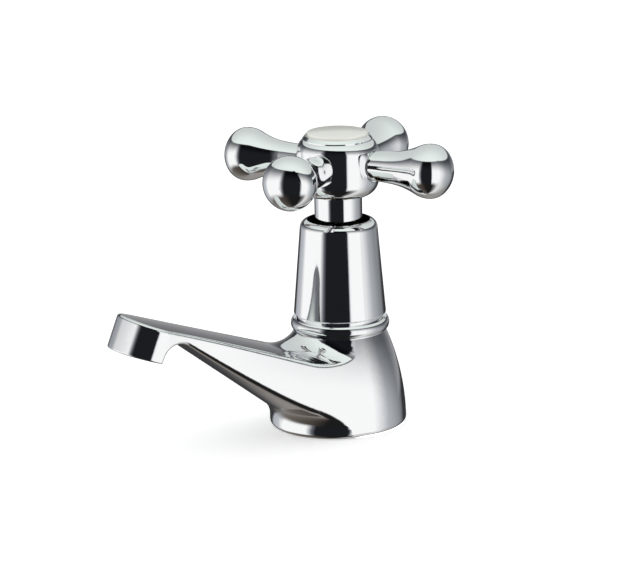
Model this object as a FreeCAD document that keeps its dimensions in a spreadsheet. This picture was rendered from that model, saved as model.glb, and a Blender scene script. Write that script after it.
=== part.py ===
import FreeCAD, Part
import math
import os
import re
import Sketcher
from FreeCAD import Placement, Rotation, Vector

# Cross handle pillar tap. Millimetres and degrees.
# Z is up, the deck is the plane Z = 0, the spindle stands on the Z axis and the spout points along -Y.
# "Reach" is the distance from the spindle axis towards the spout, so reach = -Y.

SIZES = {
    # casting: bell-shaped pillar
    "bell_radius": 22.2,
    "neck_radius": 15.5,
    "neck_height": 32.5,
    "bell_tip": 1.0,
    # casting: spout
    "nose_radius": 12.3,
    "nose_reach": 88.4,
    "nose_height": 12.3,
    "nose_lean": 22.5,
    "foot_slope": 20.0,
    "spout_rise": 19.3,
    "crest_base": 21.0,
    "crown_radius": 150.0,
    "neck_fillet": 9.5,
    "neck_shift": 0.5,
    # casting: front wall and underside, turned about an axis set forward of the spindle
    "belly_reach": 2.7,
    "belly_wall": 3.4,
    "belly_fillet": 8.0,
    # casting: arch behind the nozzle
    "throat_thick": 4.6,
    "arch_radius": 6.3,
    "heel_slope": 58.0,
    "heel_run": 6.7,
    "nozzle_width": 11.8,
    # casting: rounds along its edges
    "base_round": 1.8,
    "underside_round": 3.0,
    "throat_round": 1.0,
    "nozzle_round": 0.5,
    "shoulder_round": 1.8,
    "crest_round": 0.9,
    # waterways
    "inlet_radius": 6.5,
    "seat_bore": 5.0,
    "seat_height": 14.0,
    "seat_land": 1.2,
    "seat_moat": 1.2,
    "chamber_radius": 9.2,
    "bonnet_thread": 10.0,
    "pocket_room": 0.5,
    "channel_width": 10.0,
    "channel_step": 0.6,
    "channel_mouth": 6.0,
    "channel_skin": 1.1,
    "nozzle_bore": 3.9,
    "nozzle_inset": 6.2,
    "insert_radius": 4.3,
    "insert_depth": 5.0,
    "insert_web": 0.7,
    "insert_recess": 0.2,
    # fixing below the base
    "thread_radius": 10.4775,
    "tail_length": 50.0,
    "tail_chamfer": 1.0,
    "tail_socket": 10.0,
    "gasket_inset": 3.0,
    "gasket_width": 5.9,
    "gasket_thick": 1.6,
    "deck_gap": 20.0,
    "washer_radius": 19.0,
    "washer_room": 0.3,
    "washer_thick": 3.0,
    "nut_across": 28.0,
    "nut_thick": 8.0,
    "nut_flange": 1.6,
    "nut_flange_width": 2.6,
    "thread_bite": 0.55,
    "thread_gap": 0.05,
    # ring and shroud
    "ring_height": 4.8,
    "ring_bulge": 0.9,
    "ring_core": 0.35,
    "ring_foot": 0.35,
    "ring_land": 0.3,
    "shroud_overhang": 0.15,
    "shroud_taper": 2.5,
    "shroud_cone": 30.7,
    "shroud_crown": 2.8,
    "shroud_wall": 1.5,
    "step_height": 1.4,
    "step_depth": 0.7,
    "mouth_gap": 2.65,
    # headwork
    "bonnet_washer_thick": 1.0,
    "hex_across": 22.0,
    "hex_height": 7.5,
    "hex_room": 0.2,
    "barrel_length": 21.5,
    "barrel_wall": 2.1,
    "bearing_length": 8.0,
    "jumper_room": 0.5,
    "jumper_pocket": 4.0,
    "packing_width": 2.0,
    "packing_well": 6.0,
    "packing_thick": 3.5,
    "gland_across": 17.0,
    "gland_head": 4.6,
    "gland_gap": 0.1,
    "running_gap": 0.05,
    # valve
    "lift_height": 5.2,
    "jumper_radius": 7.6,
    "jumper_plate": 2.0,
    "stem_radius": 3.0,
    "stem_length": 10.0,
    "stud_radius": 2.0,
    "stud_length": 6.2,
    "rubber_radius": 7.0,
    "rubber_thick": 3.0,
    "small_nut_across": 6.6,
    "small_nut_thick": 2.2,
    # spindle
    "spindle_radius": 4.5,
    "thread_depth": 1.45,
    "thread_spare": 1.8,
    "collar_width": 0.6,
    "groove_rise": 1.5,
    "cord_radius": 0.5,
    "cord_room": 0.1,
    "spline_step": 0.5,
    "spline_depth": 0.6,
    "spline_width": 1.3,
    "spline_lead": 2.0,
    "spline_count": 8,
    # handle
    "hub_radius": 13.8,
    "hub_height": 19.2,
    "hub_ledge": 0.25,
    "hub_head_round": 5.0,
    "handle_gap": 8.3,
    "skirt_dip": 8.8,
    "skirt_room": 1.1,
    "skirt_wall": 1.65,
    "bush_wall": 2.4,
    "bush_length": 14.0,
    "web_height": 8.9,
    "web_thick": 2.4,
    "well_inset": 3.4,
    "arm_rise": 11.1,
    "arm_angle": 30.75,
    "arm_count": 4,
    "seat_depth": 0.7,
    "seat_margin": 0.7,
    "arm_root": 4.9,
    "arm_root_round": 0.5,
    "arm_neck_run": 6.9,
    "arm_neck": 5.4,
    "bulb_run": 21.4,
    "bulb_radius": 9.15,
    "bulb_swell": 10.2,
    "bulb_turn": 25.6,
    "bulb_corner": 6.4,
    "arm_length": 28.9,
    "arm_stud": 2.5,
    # index button
    "bezel_inset": 2.0,
    "bezel_height": 1.45,
    "bezel_edge": 0.4,
    "bezel_bevel": 0.85,
    "bezel_land": 0.5,
    "bezel_spigot": 2.6,
    "bezel_wall": 2.2,
    "disc_margin": 0.65,
    "disc_edge": 1.0,
    "disc_round": 0.4,
    "disc_crown": 0.45,
    "disc_spigot": 2.2,
    # handle screw
    "screw_radius": 2.0,
    "screw_head": 3.8,
    "screw_head_thick": 2.3,
    "screw_length": 11.0,
    "screw_chamfer": 0.4,
    "screw_socket": 1.5,
    "screw_room": 0.3,
    "lock_washer_thick": 0.9,
}

# Names reused inside the expressions below.
WORDS = {
    # casting
    "bell_drop": "(bell_radius - neck_radius)",
    "bell_arc": "((neck_height ^ 2 + bell_drop ^ 2) / (2 * bell_drop))",
    "form_height": "(crest_base + nose_reach * tan(spout_rise) + 2)",
    "nose_foot": "(crest_base + nose_reach * tan(spout_rise) - nose_height)",
    "nozzle_heel": "(nose_reach - nozzle_width)",
    "nozzle_centre": "(nose_reach - nozzle_inset)",
    "nozzle_foot_height": "(nose_foot - nozzle_inset * tan(foot_slope))",
    "arch_reach": "(nozzle_heel - heel_run)",
    "arch_top": "(crest_base + arch_reach * tan(spout_rise) - throat_thick)",
    "arch_centre": "(arch_top - arch_radius)",
    "underside_run": "(arch_reach - belly_reach - bell_radius - belly_fillet)",
    "underside_climb": "(arch_centre - belly_wall)",
    "underside_span": "sqrt(underside_run ^ 2 + underside_climb ^ 2)",
    "underside_twist": "asin((belly_fillet - arch_radius) / underside_span)",
    "underside_slope": "(atan(underside_climb / underside_run) - underside_twist)",
    "channel_floor": "(seat_height + channel_step)",
    # fixing below the base
    "gasket_outer": "(bell_radius - gasket_inset)",
    "gasket_inner": "(gasket_outer - gasket_width)",
    "nut_top": "(-deck_gap - washer_thick)",
    "nut_foot": "(nut_top - nut_thick)",
    "nut_grip": "(thread_radius - thread_bite)",
    # ring and shroud
    "ring_top": "(neck_height + ring_height)",
    "ring_half": "((ring_height - ring_foot - ring_land) / 2)",
    "ring_waist": "(neck_radius + ring_core)",
    "ring_curve": "((ring_half ^ 2 + ring_bulge ^ 2) / (2 * ring_bulge))",
    "ring_inner": "(bonnet_radius + 0.5)",
    "shroud_foot": "(neck_radius + shroud_overhang)",
    "shroud_top": "(shroud_foot - shroud_taper)",
    "shroud_shoulder": "(ring_top + shroud_cone)",
    "shroud_height": "(shroud_shoulder + shroud_crown)",
    "shroud_mouth": "(skirt_radius + mouth_gap)",
    # headwork
    "headwork_foot": "(neck_height - bonnet_thread)",
    "bonnet_base": "(neck_height + bonnet_washer_thick)",
    "bonnet_radius": "(hex_across / 2 / cos(30) + hex_room)",
    "barrel_top": "(bonnet_base + barrel_length)",
    "gland_floor": "(barrel_top - packing_well)",
    "lift_bore_top": "(gland_floor - bearing_length)",
    "gland_radius": "(spindle_radius + packing_width)",
    "barrel_radius": "(gland_radius + barrel_wall)",
    "jumper_bore": "(jumper_radius + jumper_room)",
    "jumper_ceiling": "(headwork_foot + jumper_pocket)",
    # valve and spindle
    "plate_height": "(seat_height + rubber_thick)",
    "spindle_foot": "(plate_height + jumper_plate + running_gap)",
    "spindle_bore": "(stem_radius + running_gap)",
    "lift_thread": "(spindle_radius + thread_depth)",
    "spindle_thread_top": "(lift_bore_top - lift_height - thread_spare)",
    "groove_height": "(lift_bore_top + groove_rise)",
    "groove_half": "(cord_radius + cord_room)",
    "spline_radius": "(spindle_radius - spline_step)",
    "spline_top": "(web_base - spline_step)",
    "spline_base": "(bush_foot - spline_lead)",
    # handle
    "hub_foot": "(shroud_height + handle_gap)",
    "hub_head": "(hub_foot + hub_height)",
    "hub_foot_round": "(hub_radius - skirt_radius - hub_ledge)",
    "skirt_foot": "(shroud_height - skirt_dip)",
    "skirt_bore": "(spindle_radius + skirt_room)",
    "bush_radius": "(spline_radius + bush_wall)",
    "skirt_radius": "(bush_radius + skirt_wall)",
    "web_base": "(hub_foot + web_height)",
    "web_top": "(web_base + web_thick)",
    "bush_foot": "(web_base - bush_length)",
    "well_radius": "(bezel_radius - well_inset)",
    "arm_height": "(hub_foot + arm_rise)",
    "seat_reach": "(hub_radius - seat_depth)",
    "seat_radius": "(arm_root + seat_margin)",
    "arm_stud_reach": "(well_radius + 1)",
    "arm_neck_reach": "(seat_reach + arm_neck_run)",
    "bulb_reach": "(seat_reach + bulb_run)",
    "arm_end": "(seat_reach + arm_length)",
    # index button and screw
    "bezel_radius": "(hub_radius - bezel_inset)",
    "bezel_rim": "(bezel_radius - bezel_bevel)",
    "bezel_bore": "(well_radius - bezel_wall)",
    "bezel_top": "(hub_head + bezel_height)",
    "disc_radius": "(bezel_rim - disc_margin)",
    "screw_seat": "(web_top + lock_washer_thick)",
    "screw_foot": "(screw_seat - screw_length)",
}

doc = FreeCAD.newDocument("CrossHandleTap")
sheet = doc.addObject("Spreadsheet::Sheet", "Sizes")


def spelled_out(text):
    """Replace the words of WORDS by what they stand for."""
    while True:
        longer = re.sub(r"[a-z]+(?:_[a-z]+)+", lambda found: WORDS.get(found.group(0), found.group(0)), text)
        if longer == text:
            return text
        text = longer


def bound(text):
    """The expression as an object outside the sheet reads it."""
    return re.sub(r"[a-z]+(?:_[a-z]+)+", r"Sizes.\g<0>", spelled_out(str(text)))


def value(text):
    """The number that an expression has now."""
    return float(sheet.evalExpression(spelled_out(str(text))))


def fill_sheet():
    for row, (name, number) in enumerate(SIZES.items(), start=1):
        sheet.set(f"A{row}", name)
        sheet.set(f"B{row}", str(number))
        sheet.setAlias(f"B{row}", name)
    doc.recompute()


def new_body(label):
    body = doc.addObject("PartDesign::Body", label)
    body.Label = label
    return body


def origin_feature(body, role):
    return next(item for item in body.Origin.OriginFeatures if item.Role == role)


def new_sketch(body, name, plane, height=None, tilt=None):
    """A sketch on one of the body's own planes, lifted by height and tilted about the sketch's x axis."""
    sketch = body.newObject("Sketcher::SketchObject", name)
    sketch.AttachmentSupport = [(origin_feature(body, plane), "")]
    sketch.MapMode = "FlatFace"
    if tilt is not None:
        sketch.AttachmentOffset = Placement(Vector(), Rotation(Vector(1, 0, 0), 1))
        sketch.setExpression("AttachmentOffset.Rotation.Angle", bound(tilt))
    if height is not None:
        sketch.setExpression("AttachmentOffset.Base.z", bound(height))
    return sketch


def fix(sketch, kind, number, expression):
    """Add one dimension and bind it to the sheet."""
    index = sketch.addConstraint(Sketcher.Constraint(kind, *number))
    sketch.setExpression(f"Constraints[{index}]", bound(expression))


def fix_point(sketch, geometry, end, x, y):
    """Hold one end of a line or arc at two expressions."""
    if str(x) == "0":
        sketch.addConstraint(Sketcher.Constraint("PointOnObject", geometry, end, -2))
    else:
        fix(sketch, "DistanceX", (-1, 1, geometry, end, value(x)), x)
    if str(y) == "0":
        sketch.addConstraint(Sketcher.Constraint("PointOnObject", geometry, end, -1))
    else:
        fix(sketch, "DistanceY", (-1, 1, geometry, end, value(y)), y)


def arc_between(start, end, radius, left):
    """The short arc of a circle from start to end, turning left or right on the way."""
    chord = end - start
    middle = start + chord * 0.5
    rise = math.sqrt(max(radius ** 2 - (chord.Length / 2) ** 2, 0))
    across = Vector(-chord.y, chord.x, 0).normalize()
    centre = middle + across * (rise if left else -rise)
    first, last = (start, end) if left else (end, start)
    angles = [math.atan2(point.y - centre.y, point.x - centre.x) for point in (first, last)]
    return Part.ArcOfCircle(Part.Circle(centre, Vector(0, 0, 1), radius), *angles)


def outline(sketch, corners):
    """A closed outline. A corner is (x, y), or (x, y, radius, turn) where an arc runs on to the next one."""
    points = [Vector(value(corner[0]), value(corner[1]), 0) for corner in corners]
    ends = []
    for index, corner in enumerate(corners):
        start = points[index]
        end = points[(index + 1) % len(points)]
        if len(corner) == 2:
            geometry = sketch.addGeometry(Part.LineSegment(start, end), False)
            ends.append((geometry, 1, 2))
        else:
            left = corner[3] == "left"
            geometry = sketch.addGeometry(arc_between(start, end, value(corner[2]), left), False)
            ends.append((geometry, 1, 2) if left else (geometry, 2, 1))
            fix(sketch, "Radius", (geometry, value(corner[2])), corner[2])
    for index, corner in enumerate(corners):
        geometry, start, _ = ends[index]
        before, _, end = ends[index - 1]
        sketch.addConstraint(Sketcher.Constraint("Coincident", before, end, geometry, start))
        fix_point(sketch, geometry, start, corner[0], corner[1])


def circle(sketch, x, y, radius):
    centre = Vector(value(x), value(y), 0)
    geometry = sketch.addGeometry(Part.Circle(centre, Vector(0, 0, 1), value(radius)), False)
    fix(sketch, "Radius", (geometry, value(radius)), radius)
    fix_point(sketch, geometry, 3, x, y)


def hexagon(sketch, across):
    """A hexagon about the origin with two corners on the x axis."""
    corner = f"({across} / 2 / cos(30))"
    outline(sketch, [(f"{corner} * cos({turn})" if turn not in (90, 270) else "0",
                      f"{corner} * sin({turn})" if turn not in (0, 180) else "0")
                     for turn in range(0, 360, 60)])


def turned(body, name, corners, axis="V_Axis", plane="XZ_Plane", cut=False):
    """Turn an outline about an axis, as material or as a cut."""
    sketch = new_sketch(body, name + "_outline", plane)
    outline(sketch, corners)
    feature = body.newObject("PartDesign::Groove" if cut else "PartDesign::Revolution", name)
    feature.Profile = sketch
    feature.ReferenceAxis = (sketch, [axis])
    feature.Angle = 360
    return feature


def turned_about(body, name, sketch, across):
    """Turn a sketch about its own upright construction line."""
    line = Part.LineSegment(Vector(value(across), -5, 0), Vector(value(across), -1, 0))
    axis = sketch.addGeometry(line, True)
    fix_point(sketch, axis, 1, across, "-5")
    fix_point(sketch, axis, 2, across, "-1")
    feature = body.newObject("PartDesign::Revolution", name)
    feature.Profile = sketch
    feature.ReferenceAxis = (sketch, ["Axis0"])
    feature.Angle = 360
    return feature


def pressed(body, name, sketch, length, both_ways=False, backwards=False, cut=False):
    """Extrude a sketch, as material or as a cut."""
    feature = body.newObject("PartDesign::Pocket" if cut else "PartDesign::Pad", name)
    feature.Profile = sketch
    feature.setExpression("Length", bound(length))
    if both_ways:
        feature.SideType = "Symmetric"
    feature.Reversed = backwards
    return feature


def repeated(body, name, features, count):
    """Repeat features round the vertical axis."""
    pattern = body.newObject("PartDesign::PolarPattern", name)
    pattern.Originals = features
    pattern.Axis = (origin_feature(body, "Z_Axis"), [""])
    pattern.Angle = 360
    pattern.setExpression("Occurrences", bound(count))
    body.Tip = pattern
    return pattern


def joined(kind, name, base, tool):
    """A boolean of two bodies."""
    result = doc.addObject(kind, name)
    result.Base = base
    result.Tool = tool
    return result


# ---------------------------------------------------------------- casting

def casting_sides():
    """Side walls: at every height, the outline stretched round the bell's circle and the nose's circle."""
    body = new_body("casting_sides")
    sketches = []
    for step in range(5):
        height = f"(form_height * {step} / 4)"
        bell = f"max(bell_radius - bell_arc + sqrt(bell_arc ^ 2 - {height} ^ 2); bell_tip)"
        reach = f"(nose_reach - nose_radius / cos(nose_lean) - ({height} - nose_foot) * tan(nose_lean))"
        sketch = new_sketch(body, f"side_outline_{step + 1}", "XY_Plane", height=height)
        big, small, far = value(bell), value("nose_radius"), value(reach)
        turn = math.asin((big - small) / far)
        side = Vector(math.cos(turn), -math.sin(turn), 0)
        other_side = Vector(-side.x, side.y, 0)
        nose = Vector(0, -far, 0)
        up = Vector(0, 0, 1)
        bell_arc, line_left, nose_arc, line_right = sketch.addGeometry([
            Part.ArcOfCircle(Part.Circle(Vector(), up, big), -turn, math.pi + turn),
            Part.LineSegment(other_side * big, nose + other_side * small),
            Part.ArcOfCircle(Part.Circle(nose, up, small), math.pi + turn, 2 * math.pi - turn),
            Part.LineSegment(nose + side * small, side * big),
        ], False)
        sketch.addConstraint(Sketcher.Constraint("Coincident", bell_arc, 3, -1, 1))
        sketch.addConstraint(Sketcher.Constraint("PointOnObject", nose_arc, 3, -2))
        fix(sketch, "DistanceY", (-1, 1, nose_arc, 3, -far), f"-{reach}")
        fix(sketch, "Radius", (bell_arc, big), bell)
        fix(sketch, "Radius", (nose_arc, small), "nose_radius")
        loop = (bell_arc, line_left, nose_arc, line_right)
        for first, second in zip(loop, loop[1:] + loop[:1]):
            sketch.addConstraint(Sketcher.Constraint("Tangent", first, 2, second, 1))
        sketches.append(sketch)
    loft = body.newObject("PartDesign::AdditiveLoft", "side_walls")
    loft.Profile = sketches[0]
    loft.Sections = sketches[1:]
    loft.Ruled = False
    return body


def casting_underside():
    """Front wall, underside, arch and nozzle foot, turned about one upright axis, with all that is above."""
    body = new_body("casting_underside")
    sketch = new_sketch(body, "belly_outline", "YZ_Plane")
    ceiling = "(form_height + 10)"
    far = "(nose_reach + 10)"
    wall = "(belly_reach + bell_radius)"
    outline(sketch, [
        ("-belly_reach", "0"),
        (f"-{wall}", "0"),
        (f"-{wall}", "belly_wall", "belly_fillet", "left"),
        (f"-({wall} + belly_fillet * (1 - sin(underside_slope)))",
         "belly_wall + belly_fillet * cos(underside_slope)"),
        ("-(arch_reach - arch_radius * sin(underside_slope))",
         "arch_centre + arch_radius * cos(underside_slope)", "arch_radius", "left"),
        ("-(arch_reach + arch_radius * sin(heel_slope))", "arch_centre + arch_radius * cos(heel_slope)"),
        ("-nozzle_heel", "nose_foot - nozzle_width * tan(foot_slope)"),
        (f"-{far}", "nose_foot + 10 * tan(foot_slope)"),
        (f"-{far}", ceiling),
        ("-belly_reach", ceiling),
    ])
    turned_about(body, "belly", sketch, "-belly_reach")
    back = new_sketch(body, "back_outline", "YZ_Plane")
    outline(back, [
        ("-belly_reach", "0"),
        ("2 * bell_radius", "0"),
        ("2 * bell_radius", ceiling),
        ("-belly_reach", ceiling),
    ])
    pressed(body, "back_block", back, "4 * bell_radius", both_ways=True)
    return body


def casting_top():
    """Crowned top of the spout, and the neck that rises out of it with a fillet all round."""
    body = new_body("casting_top")
    slab = new_sketch(body, "crown_outline", "XZ_Plane", tilt="-spout_rise")
    crest = "(crest_base * cos(spout_rise))"
    half = "(2 * bell_radius)"
    drop = f"({crest} - crown_radius + sqrt(crown_radius ^ 2 - {half} ^ 2))"
    outline(slab, [
        (half, "-2 * form_height"),
        (half, drop, "crown_radius", "left"),
        (f"-{half}", drop),
        (f"-{half}", "-2 * form_height"),
    ])
    pressed(body, "crown", slab, "4 * nose_reach", both_ways=True)
    neck = new_sketch(body, "neck_outline", "YZ_Plane")
    wide = "(bell_radius + neck_shift)"
    tall = "(neck_height + 12)"
    outline(neck, [
        ("neck_shift", "-1"),
        (wide + " + neck_shift", "-1"),
        (wide + " + neck_shift", "0", "bell_arc", "left"),
        (f"neck_shift + {wide} - bell_arc + sqrt(bell_arc ^ 2 - {tall} ^ 2)", tall),
        ("neck_shift", tall),
    ])
    turn = turned_about(body, "neck", neck, "neck_shift")
    doc.recompute()
    limit = value(tall) - 1
    edges = [f"Edge{index}" for index, edge in enumerate(turn.Shape.Edges, start=1)
             if edge.BoundBox.ZMax < limit and edge.BoundBox.ZMin > 1
             and edge.BoundBox.XMax < value(half) - 1 and edge.BoundBox.XMin > 1 - value(half)]
    blend = body.newObject("PartDesign::Fillet", "neck_blend")
    blend.Base = (turn, edges)
    blend.setExpression("Radius", bound("neck_fillet"))
    seat = new_sketch(body, "ring_seat_outline", "XY_Plane", height="neck_height")
    circle(seat, "0", "0", "neck_radius + neck_fillet")
    pressed(body, "ring_seat", seat, "form_height", backwards=True, cut=True)
    return body


def waterways():
    """Everything that is hollow inside the casting."""
    body = new_body("waterways")
    pocket = "(headwork_foot - pocket_room)"
    turned(body, "valve_bores", [
        ("0", "-1"),
        ("gasket_outer", "-1"),
        ("gasket_outer", "gasket_thick"),
        ("gasket_inner", "gasket_thick"),
        ("gasket_inner", "0"),
        ("thread_radius", "0"),
        ("thread_radius", "tail_socket"),
        ("seat_bore", "tail_socket"),
        ("seat_bore", "seat_height"),
        ("seat_bore + seat_land", "seat_height"),
        ("seat_bore + seat_land", "seat_height - seat_moat"),
        ("chamber_radius", "seat_height - seat_moat"),
        ("chamber_radius", pocket),
        ("thread_radius", pocket),
        ("thread_radius", "neck_height + 1"),
        ("0", "neck_height + 1"),
    ])
    crest = "(crest_base + {0} * tan(spout_rise))"
    end = "(nozzle_centre + nozzle_bore)"
    side = new_sketch(body, "channel_outline", "YZ_Plane")
    outline(side, [
        ("-seat_bore", "channel_floor"),
        ("-seat_bore", "channel_floor + channel_mouth"),
        ("-arch_reach", "arch_top + throat_thick - channel_skin"),
        (f"-{end}", crest.format(end) + " - 2 * channel_skin"),
        (f"-{end}", "arch_top + 2 * channel_skin"),
        ("-arch_reach", "arch_top + channel_skin"),
    ])
    pressed(body, "channel", side, "channel_width", both_ways=True)
    for name, radius, depth in (("nozzle_bore_cut", "nozzle_bore", "insert_depth + 3"),
                                ("insert_pocket", "insert_radius", "insert_depth")):
        foot = new_sketch(body, name + "_outline", "XY_Plane")
        foot.AttachmentOffset = Placement(Vector(), Rotation(Vector(1, 0, 0), 1))
        foot.setExpression("AttachmentOffset.Rotation.Angle", bound("-foot_slope"))
        foot.setExpression("AttachmentOffset.Base.y", bound("-nozzle_centre"))
        foot.setExpression("AttachmentOffset.Base.z", bound("nozzle_foot_height"))
        circle(foot, "0", "0", radius)
        pad = pressed(body, name, foot, depth)
        pad.SideType = "Two sides"
        pad.setExpression("Length2", bound("2"))
    return body


def eased(place, stops):
    """A radius that runs straight from one (place, radius) stop to the next."""
    for (near, start), (far, end) in zip(stops, stops[1:]):
        if place <= far:
            return start + (end - start) * (max(place, near) - near) / (far - near)
    return stops[-1][1]


def turn_at(shape, edge, point):
    """The angle by which the outside turns over an edge."""
    normals = []
    for face in shape.ancestorsOfType(edge, Part.Face):
        normals.append(face.normalAt(*face.Surface.parameter(point)))
    return math.degrees(normals[0].getAngle(normals[-1]))


def soft_edges(casting, sides):
    """Rounds on the edges of the side walls and the base, slight at the nozzle and full at the pillar."""
    doc.recompute()
    shape = casting.Shape
    wall = value("belly_reach + bell_radius")
    nose = value("nose_reach - nose_radius")
    loop = value("2 * nose_reach")
    under = [(wall, value("underside_round")), (value("arch_reach"), value("throat_round")),
             (value("nozzle_heel"), value("nozzle_round"))]
    over = [(wall, value("shoulder_round")), (nose, value("crest_round")),
            (loop - nose, value("crest_round")), (loop - wall, value("shoulder_round"))]
    rounds = []
    for index, edge in enumerate(shape.Edges, start=1):
        first, last = edge.ParameterRange
        start, middle, end = (edge.valueAt(number) for number in (first, (first + last) / 2, last))
        on_base = middle.z < 0.01
        on_side = sides.Shape.Shells[0].distToShape(Part.Vertex(middle))[0] < 0.001
        on_seat = middle.z > value("neck_height") - 0.01
        if on_seat and middle.y > -wall or not (on_base or on_side) or turn_at(shape, edge, middle) < 3:
            continue
        if on_base:
            rounds.append((0, index, value("base_round"), value("base_round")))
            continue
        on_top = middle.z > value(f"crest_base + {-middle.y} * tan(spout_rise) - throat_thick / 2")
        places = sorted(loop + point.y if on_top and point.x < 0 else -point.y
                        for point in (start, end))
        stops = over if on_top else under
        rounds.append((places[0], index, eased(places[0], stops), eased(places[1], stops)))
    softened = doc.addObject("Part::Fillet", "casting_softened")
    softened.Base = casting
    softened.Edges = [row[1:] for row in sorted(rounds)]
    return softened


def tap_body():
    sides = casting_sides()
    outer = joined("Part::Common", "casting_front", sides, casting_underside())
    outer = joined("Part::Common", "casting_outside", outer, casting_top())
    hollow = joined("Part::Cut", "casting", soft_edges(outer, sides), waterways())
    hollow.Label = "tap_body"
    return hollow


# ---------------------------------------------------------------- below the base

def inlet_tail():
    """Threaded tail: major radius along its length, pitch radius where the back nut grips it."""
    body = new_body("inlet_tail")
    turned(body, "tail_tube", [
        ("inlet_radius", "-tail_length"),
        ("thread_radius - tail_chamfer", "-tail_length"),
        ("thread_radius", "-tail_length + tail_chamfer"),
        ("thread_radius", "nut_foot"),
        ("nut_grip", "nut_foot"),
        ("nut_grip", "nut_top"),
        ("thread_radius", "nut_top"),
        ("thread_radius", "tail_socket"),
        ("inlet_radius", "tail_socket"),
    ])
    return body


def ring_washer(label, inner, outer, bottom, top):
    """A flat ring between two heights."""
    body = new_body(label)
    turned(body, label + "_ring", [(inner, bottom), (outer, bottom), (outer, top), (inner, top)])
    return body


def nut(label, across, inner, bottom, thick):
    """A plain hexagon nut with its bore."""
    body = new_body(label)
    sketch = new_sketch(body, label + "_hexagon", "XY_Plane", height=bottom)
    hexagon(sketch, across)
    circle(sketch, "0", "0", inner)
    pressed(body, label + "_blank", sketch, thick)
    return body


def back_nut():
    bore = "(nut_grip + thread_gap)"
    rim = "(nut_across / 2 + nut_flange_width)"
    body = nut("back_nut", "nut_across", bore, "nut_foot", "nut_thick")
    turned(body, "nut_flange_turn", [
        (bore, "nut_top - nut_flange"),
        (rim, "nut_top - nut_flange"),
        (rim, "nut_top"),
        (bore, "nut_top"),
    ])
    return body


def flow_straightener():
    """Insert in the nozzle: a sleeve with two crossing webs."""
    body = new_body("flow_straightener")
    length = "(insert_depth - insert_recess)"
    rim = new_sketch(body, "sleeve_outline", "XY_Plane")
    circle(rim, "0", "0", "insert_radius")
    circle(rim, "0", "0", "insert_radius - insert_web")
    pressed(body, "sleeve", rim, length)
    web = new_sketch(body, "web_outline", "XY_Plane")
    reach = "(insert_radius - insert_web / 2)"
    outline(web, [("-insert_web / 2", "-insert_web / 2"), (reach, "-insert_web / 2"),
                  (reach, "insert_web / 2"), ("-insert_web / 2", "insert_web / 2")])
    bar = pressed(body, "web", web, length)
    repeated(body, "webs", [bar], "4")
    body.Placement = Placement(Vector(), Rotation(Vector(1, 0, 0), 1))
    body.setExpression("Placement.Rotation.Angle", bound("-foot_slope"))
    body.setExpression("Placement.Base.y", bound("-nozzle_centre + insert_recess * sin(foot_slope)"))
    body.setExpression("Placement.Base.z", bound("nozzle_foot_height + insert_recess * cos(foot_slope)"))
    return body


# ---------------------------------------------------------------- ring and shroud

def base_ring():
    """Half-round moulding between the casting and the shroud."""
    body = new_body("base_ring")
    land = "(shroud_foot - step_depth - 0.5)"
    turned(body, "ring_turn", [
        ("ring_inner", "neck_height"),
        ("neck_radius", "neck_height"),
        ("neck_radius", "neck_height + ring_foot"),
        ("ring_waist", "neck_height + ring_foot", "ring_curve", "left"),
        ("ring_waist", "ring_top - ring_land"),
        (land, "ring_top - ring_land"),
        (land, "ring_top"),
        ("ring_inner", "ring_top"),
    ])
    return body


def shroud():
    """Tapered cover over the headwork, with a stepped foot and a rounded shoulder."""
    body = new_body("shroud")
    foot = "(ring_top + step_height)"
    taper = "(shroud_taper / (shroud_cone - step_height))"
    across = "(shroud_top - shroud_mouth)"
    round_over = f"((shroud_crown ^ 2 + {across} ^ 2) / (2 * {across}))"
    turned(body, "shroud_turn", [
        ("shroud_foot - shroud_wall", "ring_top"),
        ("shroud_foot - step_depth", "ring_top"),
        ("shroud_foot - step_depth", "ring_top + step_height - step_depth", "step_depth", "right"),
        ("shroud_foot", foot),
        ("shroud_top", "shroud_shoulder", round_over, "left"),
        ("shroud_mouth", "shroud_height"),
        ("shroud_mouth", "shroud_height - shroud_wall"),
        ("shroud_top - shroud_wall", "shroud_shoulder - shroud_wall"),
        (f"shroud_foot - shroud_wall - {taper} * shroud_wall", f"{foot} + shroud_wall"),
    ])
    return body


# ---------------------------------------------------------------- headwork

def headwork_body():
    """Screwed bonnet: threaded skirt, hexagon and barrel, bored for the spindle and its packing."""
    body = new_body("headwork_body")
    turned(body, "headwork_turn", [
        ("jumper_bore", "headwork_foot"),
        ("thread_radius", "headwork_foot"),
        ("thread_radius", "bonnet_base"),
        ("barrel_radius", "bonnet_base"),
        ("barrel_radius", "barrel_top"),
        ("gland_radius", "barrel_top"),
        ("gland_radius", "gland_floor"),
        ("spindle_radius + running_gap", "gland_floor"),
        ("spindle_radius + running_gap", "lift_bore_top"),
        ("lift_thread + running_gap", "lift_bore_top"),
        ("lift_thread + running_gap", "jumper_ceiling"),
        ("jumper_bore", "jumper_ceiling"),
    ])
    sketch = new_sketch(body, "headwork_hexagon", "XY_Plane", height="bonnet_base")
    hexagon(sketch, "hex_across")
    circle(sketch, "0", "0", "barrel_radius - barrel_wall / 2")
    pressed(body, "headwork_hex", sketch, "hex_height")
    return body


def gland_nut():
    bore = "(spindle_radius + gland_gap)"
    body = nut("gland_nut", "gland_across", bore, "barrel_top", "gland_head")
    turned(body, "gland_spigot", [
        (bore, "gland_floor + packing_thick"),
        ("gland_radius", "gland_floor + packing_thick"),
        ("gland_radius", "barrel_top"),
        (bore, "barrel_top"),
    ])
    return body


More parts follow.
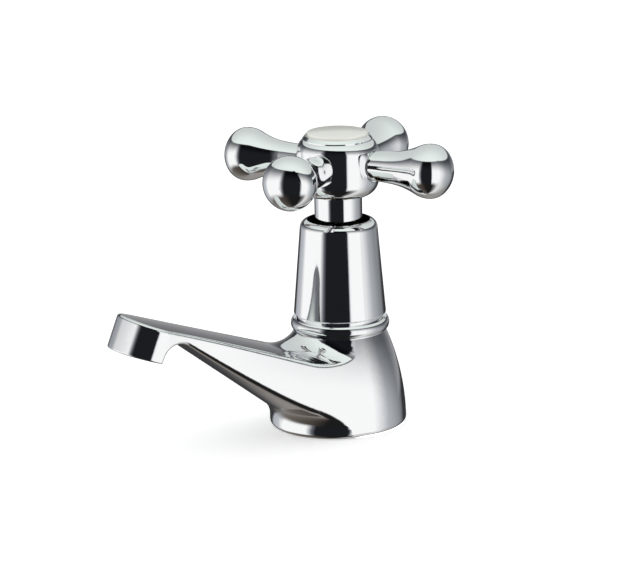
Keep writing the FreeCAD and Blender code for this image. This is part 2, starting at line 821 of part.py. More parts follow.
def jumper():
    """Valve plate with a stem up into the spindle and a stud down through its washer."""
    body = new_body("jumper")
    top = "(plate_height + jumper_plate)"
    turned(body, "jumper_turn", [
        ("0", "plate_height - stud_length"),
        ("stud_radius", "plate_height - stud_length"),
        ("stud_radius", "plate_height"),
        ("jumper_radius", "plate_height"),
        ("jumper_radius", top),
        ("stem_radius", top),
        ("stem_radius", f"{top} + stem_length"),
        ("0", f"{top} + stem_length"),
    ])
    return body


def spindle():
    """Rising spindle: thread, plain neck with a seal groove, splined top with a tapped hole."""
    body = new_body("spindle")
    bore_top = "(spindle_foot + stem_length + 1)"
    collar = "(spindle_radius + collar_width)"
    groove_floor = "(spindle_radius - 2 * cord_radius)"
    turned(body, "spindle_turn", [
        ("spindle_bore", "spindle_foot"),
        (collar, "spindle_foot"),
        (collar, "jumper_ceiling"),
        ("lift_thread", "jumper_ceiling"),
        ("lift_thread", "spindle_thread_top"),
        ("spindle_radius", "spindle_thread_top"),
        ("spindle_radius", "groove_height - groove_half"),
        (groove_floor, "groove_height - groove_half"),
        (groove_floor, "groove_height + groove_half"),
        ("spindle_radius", "groove_height + groove_half"),
        ("spindle_radius", "spline_base"),
        ("spline_radius", "spline_base"),
        ("spline_radius", "spline_top"),
        ("screw_radius", "spline_top"),
        ("screw_radius", "screw_foot - 1"),
        ("0", "screw_foot - 1"),
        ("0", bore_top),
        ("spindle_bore", bore_top),
    ])
    key = new_sketch(body, "spline_groove", "XY_Plane", height="bush_foot")
    outline(key, [
        ("spline_radius - spline_depth", "-spline_width / 2"),
        ("spline_radius + 1", "-spline_width / 2"),
        ("spline_radius + 1", "spline_width / 2"),
        ("spline_radius - spline_depth", "spline_width / 2"),
    ])
    groove = pressed(body, "spline_slot", key, "bush_length", backwards=True, cut=True)
    repeated(body, "spline_slots", [groove], "spline_count")
    return body


def seal_cord():
    """Round seal in the spindle's groove."""
    ring = doc.addObject("Part::Torus", "spindle_o_ring")
    ring.Label = "spindle_o_ring"
    ring.setExpression("Radius1", bound("spindle_radius - cord_radius"))
    ring.setExpression("Radius2", bound("cord_radius"))
    ring.setExpression("Placement.Base.z", bound("groove_height"))
    return ring


# ---------------------------------------------------------------- handle

def spline_bush():
    body = new_body("spline_bush")
    turned(body, "bush_sleeve", [
        ("spline_radius + running_gap", "bush_foot"),
        ("bush_radius", "bush_foot"),
        ("bush_radius", "web_base"),
        ("spline_radius + running_gap", "web_base"),
    ])
    key = new_sketch(body, "bush_key_outline", "XY_Plane", height="bush_foot")
    outline(key, [
        ("spline_radius - spline_depth + running_gap", "-spline_width / 2 + running_gap"),
        ("spline_radius + bush_wall / 2", "-spline_width / 2 + running_gap"),
        ("spline_radius + bush_wall / 2", "spline_width / 2 - running_gap"),
        ("spline_radius - spline_depth + running_gap", "spline_width / 2 - running_gap"),
    ])
    tooth = pressed(body, "bush_key", key, "bush_length")
    repeated(body, "bush_keys", [tooth], "spline_count")
    return body


def handle_hub():
    """Barrel with a long skirt, four spot-faced seats for the arms and a well under the index button."""
    body = new_body("handle_hub")
    shoulder = "(hub_radius - hub_head_round)"
    head_centre = f"(hub_head - sqrt(hub_head_round ^ 2 - (bezel_radius - {shoulder}) ^ 2))"
    turned(body, "hub_turn", [
        ("skirt_bore", "skirt_foot"),
        ("skirt_radius", "skirt_foot"),
        ("skirt_radius", "hub_foot"),
        ("hub_radius - hub_foot_round", "hub_foot", "hub_foot_round", "left"),
        ("hub_radius", "hub_foot + hub_foot_round"),
        ("hub_radius", head_centre, "hub_head_round", "left"),
        ("bezel_radius", "hub_head"),
        ("well_radius", "hub_head"),
        ("well_radius", "web_top"),
        ("screw_radius + screw_room", "web_top"),
        ("screw_radius + screw_room", "web_base"),
        ("bush_radius", "web_base"),
        ("bush_radius", "bush_foot"),
        ("skirt_bore", "bush_foot"),
    ])
    seat = new_sketch(body, "arm_seat_outline", "YZ_Plane", height="seat_reach")
    circle(seat, "0", "arm_height", "seat_radius")
    spot = pressed(body, "arm_seat", seat, "hub_radius", backwards=True, cut=True)
    hole = new_sketch(body, "arm_hole_outline", "YZ_Plane", height="well_radius / 2")
    circle(hole, "0", "arm_height", "arm_stud")
    bore = pressed(body, "arm_hole", hole, "hub_radius", backwards=True, cut=True)
    repeated(body, "arm_seats", [spot, bore], "arm_count")
    body.setExpression("Placement.Rotation.Angle", bound("arm_angle"))
    return body


def handle_arm(index):
    """Turned arm with a stud, a slim root and a pear-shaped end."""
    label = f"handle_arm_{index + 1}"
    body = new_body(label)
    swell_reach = "(bulb_reach - bulb_swell * sin(bulb_turn))"
    swell_radius = "(bulb_radius - bulb_swell * (1 - cos(bulb_turn)))"
    chord = f"sqrt(({swell_reach} - arm_neck_reach) ^ 2 + ({swell_radius} - arm_neck) ^ 2)"
    lean = f"(bulb_turn * 1 deg - atan(({swell_radius} - arm_neck) / ({swell_reach} - arm_neck_reach)))"
    hollow = f"({chord} / 2 / sin({lean}))"
    corner_height = "(bulb_radius - bulb_corner)"
    long = "(arm_end - bulb_reach)"
    end_radius = f"(({long} ^ 2 + {corner_height} ^ 2 - bulb_corner ^ 2) / (2 * ({long} - bulb_corner)))"
    reach = f"({long} - {end_radius})"
    meet = f"({end_radius} / ({end_radius} - bulb_corner))"
    corner_reach = f"(bulb_reach + {reach} - {reach} * {meet})"
    corner_radius = f"({corner_height} * {meet})"
    turned(body, label + "_turn", [
        ("arm_stud_reach", "0"),
        ("arm_stud_reach", "arm_stud"),
        ("seat_reach", "arm_stud"),
        ("seat_reach", "arm_root - arm_root_round", "arm_root_round", "right"),
        ("seat_reach + arm_root_round", "arm_root"),
        ("arm_neck_reach", "arm_neck", hollow, "left"),
        (swell_reach, swell_radius, "bulb_swell", "right"),
        ("bulb_reach", "bulb_radius", "bulb_corner", "right"),
        (corner_reach, corner_radius, end_radius, "right"),
        ("arm_end", "0"),
    ], axis="H_Axis")
    body.setExpression("Placement.Base.z", bound("arm_height"))
    body.setExpression("Placement.Rotation.Angle", bound(f"arm_angle + {index} * 360 / arm_count"))
    return body


def index_bezel():
    body = new_body("index_bezel")
    turned(body, "bezel_turn", [
        ("bezel_bore", "hub_head - bezel_spigot"),
        ("well_radius", "hub_head - bezel_spigot"),
        ("well_radius", "hub_head"),
        ("bezel_radius", "hub_head"),
        ("bezel_radius", "hub_head + bezel_edge"),
        ("bezel_rim", "bezel_top"),
        ("bezel_bore", "bezel_top"),
    ])
    return body


def index_disc():
    """Crowned button that closes the handle's top."""
    body = new_body("index_disc")
    face = "(disc_radius - disc_round)"
    crown = f"(({face} ^ 2 + disc_crown ^ 2) / (2 * disc_crown))"
    turned(body, "disc_turn", [
        ("0", "bezel_top - disc_spigot"),
        ("bezel_bore", "bezel_top - disc_spigot"),
        ("bezel_bore", "bezel_top"),
        ("disc_radius", "bezel_top"),
        ("disc_radius", "bezel_top + disc_edge - disc_round", "disc_round", "left"),
        (face, "bezel_top + disc_edge", crown, "left"),
        ("0", "bezel_top + disc_edge + disc_crown"),
    ])
    return body


def handle_screw():
    """Cap screw that holds the handle to the spindle."""
    body = new_body("handle_screw")
    top = "(screw_seat + screw_head_thick)"
    turned(body, "screw_turn", [
        ("0", "screw_foot"),
        ("screw_radius - screw_chamfer", "screw_foot"),
        ("screw_radius", "screw_foot + screw_chamfer"),
        ("screw_radius", "screw_seat"),
        ("screw_head", "screw_seat"),
        ("screw_head", top),
        ("0", top),
    ])
    socket = new_sketch(body, "socket_outline", "XY_Plane", height=f"{top} - screw_socket")
    hexagon(socket, "(screw_head - screw_chamfer - screw_chamfer)")
    pressed(body, "socket", socket, "screw_head_thick", backwards=True, cut=True)
    return body


def build():
    fill_sheet()
    pieces = [
        tap_body(),
        inlet_tail(),
        ring_washer("base_gasket", "gasket_inner", "gasket_outer", "0", "gasket_thick"),
        ring_washer("deck_washer", "thread_radius + washer_room", "washer_radius", "nut_top", "-deck_gap"),
        back_nut(),
        flow_straightener(),
        base_ring(),
        shroud(),
        ring_washer("bonnet_washer", "thread_radius", "bonnet_radius", "neck_height", "bonnet_base"),
        headwork_body(),
        ring_washer("gland_packing", "spindle_radius + running_gap", "gland_radius",
                    "gland_floor", "gland_floor + packing_thick"),
        gland_nut(),
        jumper(),
        ring_washer("jumper_washer", "stud_radius", "rubber_radius", "seat_height", "plate_height"),
        nut("washer_nut", "small_nut_across", "stud_radius",
            "seat_height - small_nut_thick", "small_nut_thick"),
        spindle(),
        seal_cord(),
        spline_bush(),
        handle_hub(),
        ring_washer("lock_washer", "screw_radius + screw_room", "screw_head", "web_top", "screw_seat"),
        handle_screw(),
        index_bezel(),
        index_disc(),
    ]
    pieces += [handle_arm(index) for index in range(int(SIZES["arm_count"]))]
    doc.recompute()
    return pieces


def check(pieces):
    """Stop on any object that failed and any piece without one valid solid."""
    for item in doc.Objects:
        if "Invalid" in item.State or "Error" in item.State:
            raise RuntimeError(f"{item.Label} failed: {item.State}")
    for piece in pieces:
        shape = piece.Shape
        if shape.isNull() or not shape.isValid() or len(shape.Solids) != 1:
            raise RuntimeError(f"{piece.Label} isn't one valid solid")
        print(f"{piece.Label}: {shape.Volume:.1f} mm3")


pieces = build()
check(pieces)
os.makedirs("parts", exist_ok=True)
for piece in pieces:
    piece.Shape.exportStep(f"parts/{piece.Label}.step")
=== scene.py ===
import math

import bmesh
import bpy
from mathutils import Matrix, Vector


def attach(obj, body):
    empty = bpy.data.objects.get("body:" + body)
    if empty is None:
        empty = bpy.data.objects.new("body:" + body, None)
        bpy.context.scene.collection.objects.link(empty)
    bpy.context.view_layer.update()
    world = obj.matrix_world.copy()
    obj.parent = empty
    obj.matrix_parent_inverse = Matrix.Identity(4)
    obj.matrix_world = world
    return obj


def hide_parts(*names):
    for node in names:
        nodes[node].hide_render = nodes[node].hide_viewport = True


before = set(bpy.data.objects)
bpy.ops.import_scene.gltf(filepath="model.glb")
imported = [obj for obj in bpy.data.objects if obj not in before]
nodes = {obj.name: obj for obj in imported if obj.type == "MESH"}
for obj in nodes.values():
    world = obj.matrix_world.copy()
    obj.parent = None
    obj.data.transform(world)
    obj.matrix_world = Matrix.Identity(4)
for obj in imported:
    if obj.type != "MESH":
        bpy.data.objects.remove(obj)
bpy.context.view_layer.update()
scene = bpy.context.scene


# Lengths in the dictionaries are millimetres and angles are degrees. Every mesh is made in metres.
def mm(value):
    return value / 1000


# Azimuths are 0 on the side that the spout points to and 90 towards +X.
cameraValues = {
    "azimuth": 58,
    "elevation": 14.26,
    "distance": 1000,
    "aimHeight": 60,
    "pan": -0.39,
    "tilt": -0.61,
    "roll": -0.98,
    "lens": 166.5,
    "sensor": 36,
    "clipStart": 10,
}


def makeCamera():
    v = cameraValues
    elevation = math.radians(v["elevation"])
    place = Vector((0, -mm(v["distance"]) * math.cos(elevation),
                    mm(v["distance"]) * math.sin(elevation) + mm(v["aimHeight"])))
    lift = math.radians(v["tilt"]) - elevation
    pan = math.radians(v["pan"])
    forward = Vector((math.sin(pan) * math.cos(lift),
                      math.cos(pan) * math.cos(lift),
                      math.sin(lift)))
    right = Vector((math.cos(pan), -math.sin(pan), 0))
    turn = Matrix((right, right.cross(forward), -forward)).transposed().to_4x4()
    roll = Matrix.Rotation(math.radians(v["roll"]), 4, "Z")
    data = bpy.data.cameras.new("camera")
    data.lens = v["lens"]
    data.sensor_width = v["sensor"]
    data.clip_start = mm(v["clipStart"])
    camera = bpy.data.objects.new("camera", data)
    scene.collection.objects.link(camera)
    camera.matrix_world = (Matrix.Rotation(math.radians(v["azimuth"]), 4, "Z")
                           @ Matrix.Translation(place) @ turn @ roll)
    scene.camera = camera


# Helpers for node trees.
noiseLow = 0.3     # most of a noise's values lie between these two
noiseHigh = 0.7


def newMaterial(name):
    material = bpy.data.materials.new(name)
    material.use_nodes = True
    tree = material.node_tree
    shader = tree.nodes["Principled BSDF"]
    return material, tree, shader


def noiseOver(tree, scale, detail=2, stretch=(1, 1, 1)):
    coordinates = tree.nodes.new("ShaderNodeTexCoord")
    mapping = tree.nodes.new("ShaderNodeMapping")
    mapping.inputs["Scale"].default_value = stretch
    noise = tree.nodes.new("ShaderNodeTexNoise")
    noise.inputs["Scale"].default_value = scale
    noise.inputs["Detail"].default_value = detail
    tree.links.new(coordinates.outputs["Object"], mapping.inputs["Vector"])
    tree.links.new(mapping.outputs["Vector"], noise.inputs["Vector"])
    return noise


def spread(tree, source, low, high):
    ranged = tree.nodes.new("ShaderNodeMapRange")
    ranged.inputs["From Min"].default_value = noiseLow
    ranged.inputs["From Max"].default_value = noiseHigh
    ranged.inputs["To Min"].default_value = low
    ranged.inputs["To Max"].default_value = high
    tree.links.new(source, ranged.inputs["Value"])
    return ranged.outputs["Result"]


def blended(tree, factor, under, over, kind="MIX"):
    mix = tree.nodes.new("ShaderNodeMix")
    mix.data_type = "RGBA"
    mix.blend_type = kind
    tree.links.new(factor, mix.inputs[0])
    for socket, colour in ((mix.inputs[6], under), (mix.inputs[7], over)):    # the colour sockets
        if isinstance(colour, tuple):
            socket.default_value = (*colour, 1)
        else:
            tree.links.new(colour, socket)
    return mix.outputs[2]


def colourNoise(tree, shader, scale, dark, light):
    noise = noiseOver(tree, scale, detail=3)
    factor = spread(tree, noise.outputs["Fac"], 0, 1)
    tree.links.new(blended(tree, factor, dark, light), shader.inputs["Base Color"])
    return noise


def addBump(tree, shader, source, height):
    bump = tree.nodes.new("ShaderNodeBump")
    bump.inputs["Distance"].default_value = mm(height)
    bump.inputs["Strength"].default_value = 1
    tree.links.new(source, bump.inputs["Height"])
    tree.links.new(bump.outputs["Normal"], shader.inputs["Normal"])


# The plated outside of the tap, with the faint haze of handled chrome.
chromeValues = {
    "colour": (0.93, 0.935, 0.94, 1),
    "roughLow": 0.045,
    "roughHigh": 0.075,
    "grain": 90,
}


def makeChrome():
    v = chromeValues
    material, tree, shader = newMaterial("mirrorChrome")
    shader.inputs["Base Color"].default_value = v["colour"]
    shader.inputs["Metallic"].default_value = 1
    haze = noiseOver(tree, v["grain"])
    rough = spread(tree, haze.outputs["Fac"], v["roughLow"], v["roughHigh"])
    tree.links.new(rough, shader.inputs["Roughness"])
    return material


# Bare turned metal, with fine tool marks round the axis.
metalValues = {
    "turnedBrass": {
        "dark": (0.62, 0.42, 0.16),
        "light": (0.78, 0.56, 0.26),
        "grain": 60,
        "rough": (0.22, 0.36),
    },
    "brightSteel": {
        "dark": (0.48, 0.48, 0.47),
        "light": (0.62, 0.62, 0.61),
        "grain": 80,
        "rough": (0.24, 0.38),
    },
}
toolMarks = {"scale": 400, "stretch": (0.05, 0.05, 6), "height": 0.01}


def makeMetal(name):
    v = metalValues[name]
    material, tree, shader = newMaterial(name)
    shader.inputs["Metallic"].default_value = 1
    colourNoise(tree, shader, v["grain"], v["dark"], v["light"])
    lines = noiseOver(tree, toolMarks["scale"], stretch=toolMarks["stretch"])
    tree.links.new(spread(tree, lines.outputs["Fac"], *v["rough"]), shader.inputs["Roughness"])
    addBump(tree, shader, lines.outputs["Fac"], toolMarks["height"])
    return material


# Washers, seals and packing.
softValues = {
    "blackRubber": {
        "dark": (0.018, 0.018, 0.018),
        "light": (0.04, 0.04, 0.04),
        "grain": 500,
        "rough": 0.65,
        "bump": 0.02,
    },
    "redFibre": {
        "dark": (0.30, 0.05, 0.03),
        "light": (0.44, 0.09, 0.05),
        "grain": 900,
        "rough": 0.75,
        "bump": 0.03,
    },
    "whiteSeal": {
        "dark": (0.72, 0.71, 0.68),
        "light": (0.82, 0.81, 0.78),
        "grain": 300,
        "rough": 0.5,
        "bump": 0.01,
    },
}


def makeSoft(name):
    v = softValues[name]
    material, tree, shader = newMaterial(name)
    noise = colourNoise(tree, shader, v["grain"], v["dark"], v["light"])
    shader.inputs["Roughness"].default_value = v["rough"]
    addBump(tree, shader, noise.outputs["Fac"], v["bump"])
    return material


# The button on top of the hub.
enamelValues = {
    "dark": (0.88, 0.885, 0.81),
    "light": (0.92, 0.925, 0.86),
    "grain": 70,
    "rough": 0.22,
    "coat": 0.5,
    "coatRough": 0.05,
}


def makeEnamel():
    v = enamelValues
    material, tree, shader = newMaterial("creamEnamel")
    colourNoise(tree, shader, v["grain"], v["dark"], v["light"])
    shader.inputs["Roughness"].default_value = v["rough"]
    shader.inputs["Coat Weight"].default_value = v["coat"]
    shader.inputs["Coat Roughness"].default_value = v["coatRough"]
    return material


# Which CAD nodes wear which finish.
finishes = {
    "mirrorChrome": ["tap_body", "base_ring", "shroud", "handle_hub", "handle_arm_1",
                     "handle_arm_2", "handle_arm_3", "handle_arm_4", "index_bezel"],
    "turnedBrass": ["inlet_tail", "back_nut", "headwork_body", "gland_nut", "jumper",
                    "spindle", "washer_nut"],
    "brightSteel": ["handle_screw", "lock_washer"],
    "blackRubber": ["base_gasket", "jumper_washer", "spindle_o_ring", "deck_washer"],
    "redFibre": ["bonnet_washer"],
    "whiteSeal": ["gland_packing", "spline_bush", "flow_straightener"],
    "creamEnamel": ["index_disc"],
}


# The floor catches the tap's shadow, but the gloss sees the studio below instead of it.
stageValues = {
    "floor": 40000,
    "floorShade": 0.9,
    "floorRough": 0.6,
    "floorGlow": 0.4,
    "worldGlow": 0.9,
    "deckPlug": 21.5,
    "plugSides": 64,
}
white = (1, 1, 1, 1)


def addStage(shape, name, material, hidden):
    mesh = bpy.data.meshes.new(name)
    shape.to_mesh(mesh)
    shape.free()
    mesh.materials.append(material)
    thing = bpy.data.objects.new(name, mesh)
    scene.collection.objects.link(thing)
    for ray in hidden:
        setattr(thing, "visible_" + ray, False)


def makeFloor():
    v = stageValues
    material, tree, shader = newMaterial("whiteDeck")
    shader.inputs["Base Color"].default_value = (v["floorShade"], v["floorShade"], v["floorShade"], 1)
    shader.inputs["Roughness"].default_value = v["floorRough"]
    shader.inputs["Emission Color"].default_value = white
    shader.inputs["Emission Strength"].default_value = v["floorGlow"]
    shape = bmesh.new()
    bmesh.ops.create_grid(shape, x_segments=1, y_segments=1, size=mm(v["floor"]) / 2)
    addStage(shape, "floor", material, ["glossy"])
    # A small disc closes the tap's hole in the deck for every ray but the camera's.
    shape = bmesh.new()
    bmesh.ops.create_circle(shape, cap_ends=True, segments=v["plugSides"], radius=mm(v["deckPlug"]))
    addStage(shape, "deckUnderTap", material, ["camera"])


def makeWorld():
    world = bpy.data.worlds.new("studio")
    scene.world = world
    world.use_nodes = True
    background = world.node_tree.nodes["Background"]
    background.inputs["Color"].default_value = white
    background.inputs["Strength"].default_value = stageValues["worldGlow"]


# The studio that only the gloss sees: soft boxes and black card on a closed drum round the tap.
# Wall, ground and behind are bands by azimuth. Each "From" and "To" is an elevation where one
# begins and has fully taken over. The cap is the pale round sheet overhead, and the rim is the
# darkening that leads up to it.
tentValues = {
    "radius": 4000,
    "height": 8000,
    "sides": 96,
    "weld": 0.01,
    "eye": 60,
    "wall": [
        (-180, (0.30, 0.32, 0.34)),
        (-145, (0.56, 0.56, 0.58)),
        (-105, (0.50, 0.495, 0.50)),
        (-92, (0.14, 0.14, 0.15)),
        (-84, (0.42, 0.44, 0.48)),
        (-62, (0.55, 0.57, 0.60)),
        (-50, (1, 1, 1)),
        (4, (1, 1, 1)),
        (15, (0.14, 0.15, 0.17)),
        (22, (0.012, 0.013, 0.016)),
        (82, (0.012, 0.013, 0.016)),
        (85, (0.85, 0.87, 0.90)),
        (90, (1, 1, 1)),
        (118, (1, 1, 1)),
        (150, (0.45, 0.47, 0.50)),
        (180, (0.30, 0.32, 0.34)),
    ],
    "ground": [
        (-180, (0.30, 0.29, 0.28)),
        (-120, (0.30, 0.285, 0.27)),
        (-60, (0.15, 0.132, 0.118)),
        (0, (0.07, 0.058, 0.05)),
        (40, (0.012, 0.012, 0.012)),
        (90, (0.012, 0.012, 0.012)),
        (108, (0.2, 0.19, 0.19)),
        (130, (0.8, 0.8, 0.8)),
        (158, (0.5, 0.5, 0.49)),
        (180, (0.30, 0.29, 0.28)),
    ],
    "groundFrom": -28,
    "groundTo": -46,
    "behind": [
        (-180, (0, 0, 0)),
        (-160, (1, 1, 1)),
        (-92, (1, 1, 1)),
        (-84, (0, 0, 0)),
        (180, (0, 0, 0)),
    ],
    "behindFrom": -9,
    "behindTo": -13,
    "behindShade": (0.045, 0.046, 0.05),
    "capAzimuth": -140,
    "capElevation": 70,
    "capRadius": 58.5,
    "capEdge": 1.5,
    "capNear": (0.84, 0.91, 0.87),
    "capFar": (0.60, 0.64, 0.63),
    "capTurn": 58,
    "capNearFrom": -0.9,
    "capNearTo": 0.55,
    "rimWidth": 38,
    "rimShade": (0.13, 0.135, 0.15),
    "hiddenFrom": ["camera", "diffuse", "transmission", "volume_scatter", "shadow"],
}


def mathNode(tree, operation, *values):
    step = tree.nodes.new("ShaderNodeMath")
    step.operation = operation
    for socket, value in zip(step.inputs, values):
        if isinstance(value, (int, float)):
            socket.default_value = value
        else:
            tree.links.new(value, socket)
    return step.outputs["Value"]


def between(tree, source, start, end):
    ranged = tree.nodes.new("ShaderNodeMapRange")
    ranged.interpolation_type = "SMOOTHSTEP"
    ranged.inputs["From Min"].default_value = start
    ranged.inputs["From Max"].default_value = end
    tree.links.new(source, ranged.inputs["Value"])
    return ranged.outputs["Result"]


def roundRamp(tree, share, bands):
    ramp = tree.nodes.new("ShaderNodeValToRGB")
    stops = ramp.color_ramp.elements
    while len(stops) < len(bands):
        stops.new(1)
    for stop, (azimuth, colour) in zip(stops, bands):
        stop.position = (azimuth + 180) / 360
        stop.color = (*colour, 1)
    tree.links.new(share, ramp.inputs["Fac"])
    return ramp.outputs["Color"]


def along(tree, direction, azimuth, elevation):
    turn = math.radians(azimuth)
    rise = math.radians(elevation)
    product = tree.nodes.new("ShaderNodeVectorMath")
    product.operation = "DOT_PRODUCT"
    tree.links.new(direction.outputs["Vector"], product.inputs[0])
    product.inputs[1].default_value = (math.sin(turn) * math.cos(rise),
                                       -math.cos(turn) * math.cos(rise),
                                       math.sin(rise))
    return product.outputs["Value"]


def tentShape():
    v = tentValues
    radius = mm(v["radius"])
    height = mm(v["height"])
    corners = [(0, -height), (radius, -height), (radius, height), (0, height)]
    shape = bmesh.new()
    points = [shape.verts.new((x, 0, z)) for x, z in corners]
    edges = [shape.edges.new(pair) for pair in zip(points, points[1:])]
    bmesh.ops.spin(shape, geom=points + edges, cent=(0, 0, 0), axis=(0, 0, 1), angle=math.tau,
                   steps=v["sides"], use_merge=True)
    bmesh.ops.remove_doubles(shape, verts=shape.verts, dist=mm(v["weld"]))
    return shape


def tentColour(tree):
    v = tentValues
    place = tree.nodes.new("ShaderNodeTexCoord")
    centre = tree.nodes.new("ShaderNodeMapping")
    centre.inputs["Location"].default_value = (0, 0, -mm(v["eye"]))
    tree.links.new(place.outputs["Object"], centre.inputs["Vector"])
    split = tree.nodes.new("ShaderNodeSeparateXYZ")
    tree.links.new(centre.outputs["Vector"], split.inputs["Vector"])
    x, y, z = split.outputs
    azimuth = mathNode(tree, "ARCTAN2", x, mathNode(tree, "MULTIPLY", y, -1))
    share = mathNode(tree, "MULTIPLY_ADD", azimuth, 1 / math.tau, 0.5)    # 0 to 1 once round
    square = mathNode(tree, "ADD", mathNode(tree, "MULTIPLY", x, x), mathNode(tree, "MULTIPLY", y, y))
    elevation = mathNode(tree, "ARCTAN2", z, mathNode(tree, "SQRT", square))
    direction = tree.nodes.new("ShaderNodeVectorMath")
    direction.operation = "NORMALIZE"
    tree.links.new(centre.outputs["Vector"], direction.inputs[0])

    wall = roundRamp(tree, share, v["wall"])
    strip = tree.nodes.new("ShaderNodeSeparateColor")
    tree.links.new(roundRamp(tree, share, v["behind"]), strip.inputs["Color"])
    low = between(tree, elevation, math.radians(v["behindFrom"]), math.radians(v["behindTo"]))
    behind = mathNode(tree, "MULTIPLY", strip.outputs["Red"], low)
    colour = blended(tree, behind, wall, v["behindShade"])
    ground = between(tree, elevation, math.radians(v["groundFrom"]), math.radians(v["groundTo"]))
    colour = blended(tree, ground, colour, roundRamp(tree, share, v["ground"]))

    toCap = mathNode(tree, "ARCCOSINE", along(tree, direction, v["capAzimuth"], v["capElevation"]))
    edge = math.radians(v["capRadius"])
    soft = math.radians(v["capEdge"])
    rim = between(tree, toCap, edge + math.radians(v["rimWidth"]), edge)
    colour = blended(tree, rim, colour, v["rimShade"], "MULTIPLY")
    near = between(tree, along(tree, direction, v["capTurn"], 0), v["capNearFrom"], v["capNearTo"])
    cap = blended(tree, near, v["capFar"], v["capNear"])
    inside = between(tree, toCap, edge + soft, edge - soft)
    return blended(tree, inside, colour, cap)


def makeTent():
    material = bpy.data.materials.new("studioBands")
    material.use_nodes = True
    tree = material.node_tree
    tree.nodes.clear()
    glow = tree.nodes.new("ShaderNodeEmission")
    out = tree.nodes.new("ShaderNodeOutputMaterial")
    tree.links.new(tentColour(tree), glow.inputs["Color"])
    tree.links.new(glow.outputs["Emission"], out.inputs["Surface"])
    addStage(tentShape(), "studioTent", material, tentValues["hiddenFrom"])


# The pieces that are made here. An edge that turns by more than the sharp angle stays crisp.
sharpAngle = 35


def addPiece(shape, name, body, finish, replaced=None):
    bmesh.ops.recalc_face_normals(shape, faces=shape.faces)
    for face in shape.faces:
        face.smooth = True
    for edge in shape.edges:
        edge.smooth = edge.calc_face_angle(0) < math.radians(sharpAngle)
    mesh = bpy.data.meshes.new(name)
    shape.to_mesh(mesh)
    shape.free()
    mesh.materials.append(materials[finish])
    piece = bpy.data.objects.new(name, mesh)
    scene.collection.objects.link(piece)
    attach(piece, body)
    if replaced:
        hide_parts(replaced)
    return piece


# The wall at the spout's end: a length of the nose's own round, closed in front of the water
# channel. The round leans back with the nose, and the patch lies a hair behind its face.
noseWallValues = {
    "noseRadius": 12.3,
    "noseReach": 88.4,
    "noseFoot": 39.66,
    "lean": 22.5,
    "behind": 0.006,
    "thick": 1.1,
    "halfAngle": 24.4,
    "low": 42.85,
    "high": 48.33,
    "steps": 48,
}


def makeNoseWall():
    v = noseWallValues
    outer = v["noseRadius"] - v["behind"]
    inner = outer - v["thick"]
    corners = [(outer, v["low"]), (outer, v["high"]), (inner, v["high"]), (inner, v["low"])]
    start = math.radians(v["halfAngle"])
    shape = bmesh.new()
    ring = [shape.verts.new((mm(radius) * math.sin(start), -mm(radius) * math.cos(start), mm(z)))
            for radius, z in corners]
    face = shape.faces.new(ring)
    bmesh.ops.spin(shape, geom=[face, *face.edges, *ring], cent=(0, 0, 0), axis=(0, 0, 1),
                   angle=-2 * start, steps=v["steps"])
    slope = math.tan(math.radians(v["lean"]))
    centre = v["noseReach"] - v["noseRadius"] / math.cos(math.radians(v["lean"]))
    shift = -mm(centre + v["noseFoot"] * slope)
    lean = Matrix(((1, 0, 0, 0), (0, 1, slope, shift), (0, 0, 1, 0), (0, 0, 0, 1)))
    bmesh.ops.transform(shape, matrix=lean, verts=shape.verts)
    addPiece(shape, "nose_wall", "tap", "mirrorChrome")


# The tail with its real thread, half-inch pipe, in place of the plain tube. The profile is one
# turn of the thread, as shares of its pitch and its depth.
tailValues = {
    "major": 10.4775,
    "depth": 1.162,
    "pitch": 1.814,
    "bore": 6.5,
    "low": -50,
    "high": 10,
    "chamfer": 1.1,
    "profile": [(0, 0), (0.1, 0.06), (0.4, 0.9), (0.5, 1), (0.6, 0.9), (0.9, 0.06), (1, 0)],
    "steps": 48,
    "spareTurns": 2,
    "weld": 0.005,
    "cutRoom": 0.001,
    "endRoom": 0.01,
}


def onlyVerts(parts):
    return [part for part in parts if isinstance(part, bmesh.types.BMVert)]


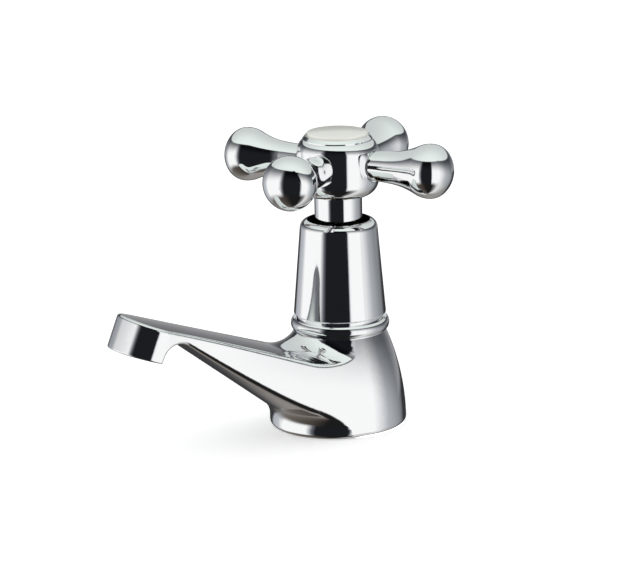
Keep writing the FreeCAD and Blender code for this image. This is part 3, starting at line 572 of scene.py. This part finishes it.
def makeTail():
    v = tailValues
    minor = v["major"] - v["depth"]
    low = mm(v["low"])
    high = mm(v["high"])
    pitch = mm(v["pitch"])
    turns = math.ceil((v["high"] - v["low"]) / v["pitch"]) + v["spareTurns"]
    shape = bmesh.new()
    line = [shape.verts.new((mm(minor + v["depth"] * rise), 0, mm(v["low"] + v["pitch"] * (share - 1))))
            for share, rise in v["profile"]]
    edges = [shape.edges.new(pair) for pair in zip(line, line[1:])]
    bmesh.ops.spin(shape, geom=line + edges, cent=(0, 0, 0), axis=(0, 0, 1), angle=math.tau,
                   steps=v["steps"], dvec=(0, 0, pitch / v["steps"]))
    turn = [*shape.verts, *shape.edges, *shape.faces]
    for count in range(1, turns):
        copy = bmesh.ops.duplicate(shape, geom=turn)["geom"]
        bmesh.ops.translate(shape, vec=(0, 0, pitch * count), verts=onlyVerts(copy))
    bmesh.ops.remove_doubles(shape, verts=shape.verts, dist=mm(v["weld"]))

    ends = ((low, -1), (high, 1))
    for height, side in ends:
        bmesh.ops.bisect_plane(shape, geom=[*shape.verts, *shape.edges, *shape.faces],
                               dist=mm(v["cutRoom"]), plane_co=(0, 0, height),
                               plane_no=(0, 0, side), clear_outer=True)
    for vert in shape.verts:
        widest = mm(v["major"] - v["chamfer"]) + max(0, vert.co.z - low)
        radius = math.hypot(vert.co.x, vert.co.y)
        if radius > widest:
            vert.co.xy *= widest / radius

    bmesh.ops.create_circle(shape, segments=v["steps"], radius=mm(v["bore"]),
                            matrix=Matrix.Translation((0, 0, low)))
    rim = [edge for edge in shape.edges if edge.is_wire]
    tube = bmesh.ops.extrude_edge_only(shape, edges=rim)
    bmesh.ops.translate(shape, vec=(0, 0, high - low), verts=onlyVerts(tube["geom"]))
    for height, side in ends:
        loops = [edge for edge in shape.edges if edge.is_boundary
                 and all(abs(vert.co.z - height) < mm(v["endRoom"]) for vert in edge.verts)]
        bmesh.ops.triangle_fill(shape, use_beauty=True, edges=loops, normal=(0, 0, side))
    openEdges = sum(not edge.is_manifold for edge in shape.edges)
    print("tail:", len(shape.faces), "faces,", openEdges, "open edges")
    return addPiece(shape, "threaded_tail", "tap", "turnedBrass", "inlet_tail")


scene.view_settings.view_transform = "Standard"
print("camera")
makeCamera()
print("floor, world and studio")
makeFloor()
makeWorld()
makeTent()

print("finishes")
materials = {"mirrorChrome": makeChrome(), "creamEnamel": makeEnamel()}
materials.update({name: makeMetal(name) for name in metalValues})
materials.update({name: makeSoft(name) for name in softValues})
for finish, names in finishes.items():
    for name in names:
        mesh = nodes[name].data
        mesh.materials.clear()
        mesh.materials.append(materials[finish])

print("nose wall")
makeNoseWall()
print("tail")
threadedTail = makeTail()
# These lie under the deck, where the chrome can't see them.
for piece in (threadedTail, nodes["back_nut"], nodes["deck_washer"], nodes["base_gasket"]):
    piece.visible_glossy = False
